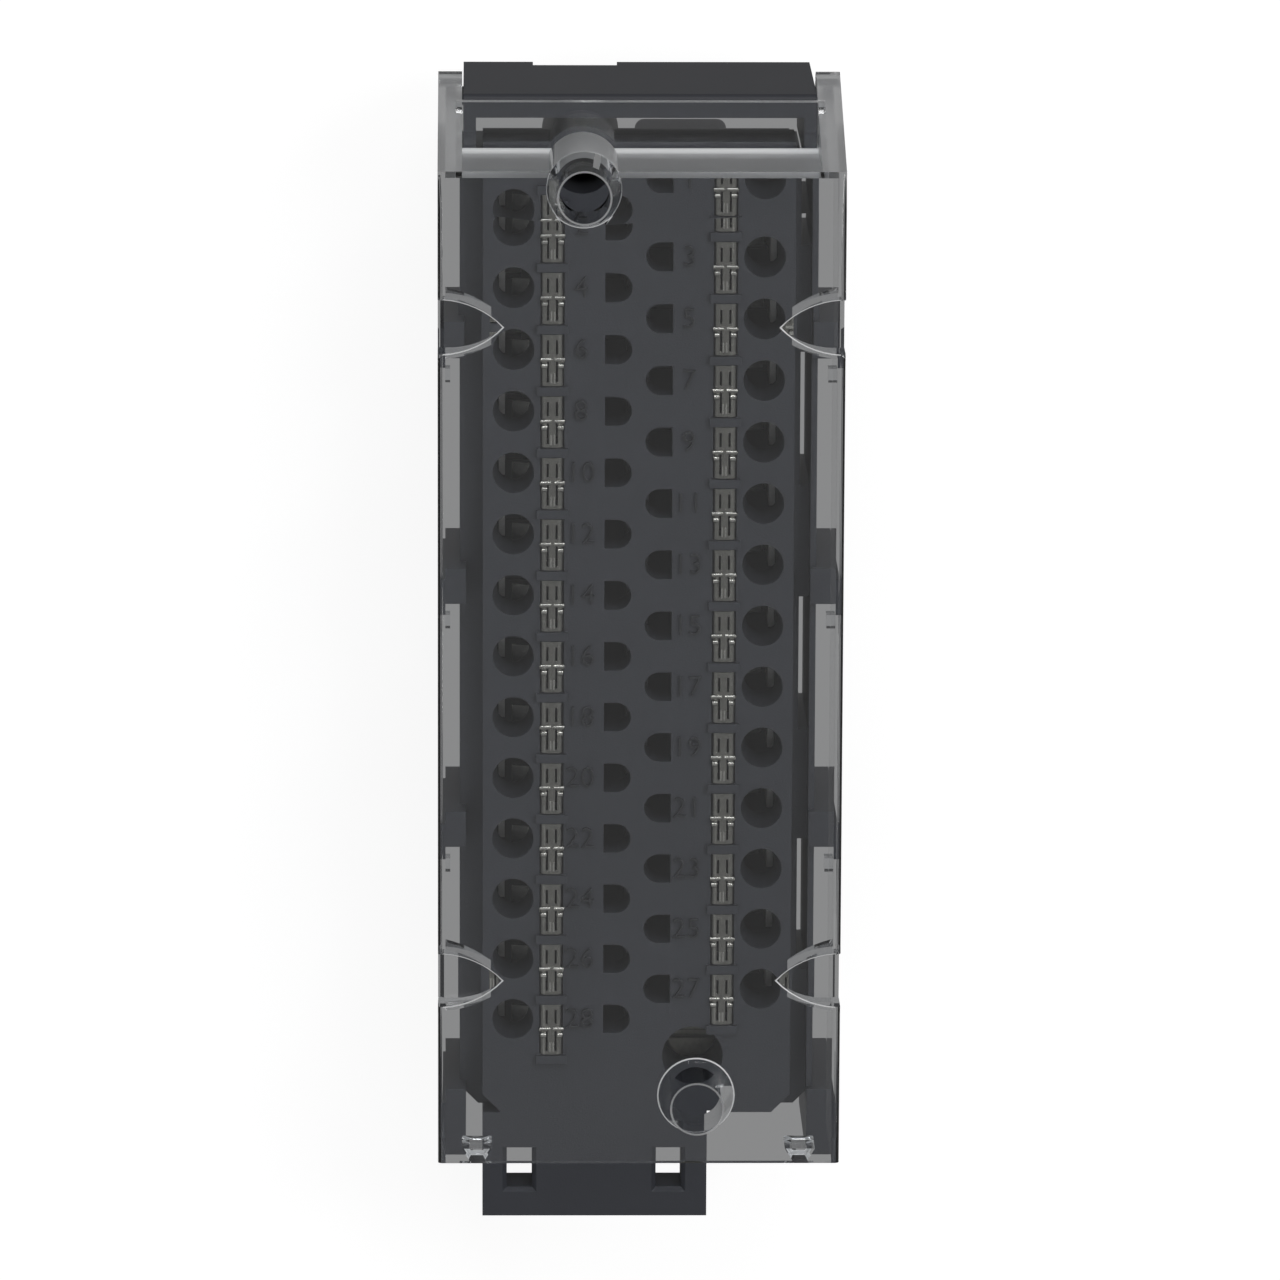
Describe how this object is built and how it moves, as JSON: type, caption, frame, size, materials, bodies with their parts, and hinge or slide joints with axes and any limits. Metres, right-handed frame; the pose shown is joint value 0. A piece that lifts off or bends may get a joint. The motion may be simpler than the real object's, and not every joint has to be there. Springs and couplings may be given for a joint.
{
  "type": "removable spring terminal block",
  "caption": "Removable terminal block with staggered wire funnels, spring clamps and test holes, a hinged clear cover with screwdriver tubes, captive screws and a windowed lug.",
  "frame": {"origin": "middle of the footprint, in the plane of the plug's rear face", "axes": "+Z from the plug to the wiring side, +Y along the block to the hinge, +X across it"},
  "size_m": [0.032, 0.0932, 0.0418],
  "materials": {
    "housing_plastic": "fine satin texture",
    "base_plastic": "fine satin texture",
    "cover_clear": "clear and polished",
    "spring_steel": "bright strip",
    "contact_metal": "tinned",
    "screw_steel": "plated",
    "retainer_steel": "plated"
  },
  "bodies": {
    "block": {"housing": "housing_plastic", "connector_base": "base_plastic", "contact_bars_left": "contact_metal", "contact_bars_right": "contact_metal", "clamp_spring_01": "spring_steel", "clamp_spring_02": "spring_steel", "clamp_spring_03": "spring_steel", "clamp_spring_04": "spring_steel", "clamp_spring_05": "spring_steel", "clamp_spring_06": "spring_steel", "clamp_spring_07": "spring_steel", "clamp_spring_08": "spring_steel", "clamp_spring_09": "spring_steel", "clamp_spring_10": "spring_steel", "clamp_spring_11": "spring_steel", "clamp_spring_12": "spring_steel", "clamp_spring_13": "spring_steel", "clamp_spring_14": "spring_steel", "clamp_spring_15": "spring_steel", "clamp_spring_16": "spring_steel", "clamp_spring_17": "spring_steel", "clamp_spring_18": "spring_steel", "clamp_spring_19": "spring_steel", "clamp_spring_20": "spring_steel", "clamp_spring_21": "spring_steel", "clamp_spring_22": "spring_steel", "clamp_spring_23": "spring_steel", "clamp_spring_24": "spring_steel", "clamp_spring_25": "spring_steel", "clamp_spring_26": "spring_steel", "clamp_spring_27": "spring_steel", "clamp_spring_28": "spring_steel"},
    "cover": {"clear_cover": "cover_clear"},
    "upper_catch": {"upper_retainer": "retainer_steel"},
    "upper_fixing": {"upper_screw": "screw_steel"},
    "lower_catch": {"lower_retainer": "retainer_steel"},
    "lower_fixing": {"lower_screw": "screw_steel"}
  },
  "joints": [
    {"name": "cover_hinge", "type": "hinge", "parent": "block", "child": "cover", "pos_m": [0, 0.04475, 0.0205], "axis": [-1, 0, 0], "range_deg": [0, 105]},
    {"name": "upper_screw_travel", "type": "slide", "parent": "block", "child": "upper_catch", "axis": [0, 0, 1], "range_m": [0, 0.0036]},
    {"name": "upper_screw_turn", "type": "hinge", "parent": "upper_catch", "child": "upper_fixing", "pos_m": [-0.00455, 0.0399, 0.0173], "axis": [0, 0, 1], "continuous": true},
    {"name": "lower_screw_travel", "type": "slide", "parent": "block", "child": "lower_catch", "axis": [0, 0, 1], "range_m": [0, 0.0036]},
    {"name": "lower_screw_turn", "type": "hinge", "parent": "lower_catch", "child": "lower_fixing", "pos_m": [0.00455, -0.03315, 0.0173], "axis": [0, 0, 1], "continuous": true}
  ]
}
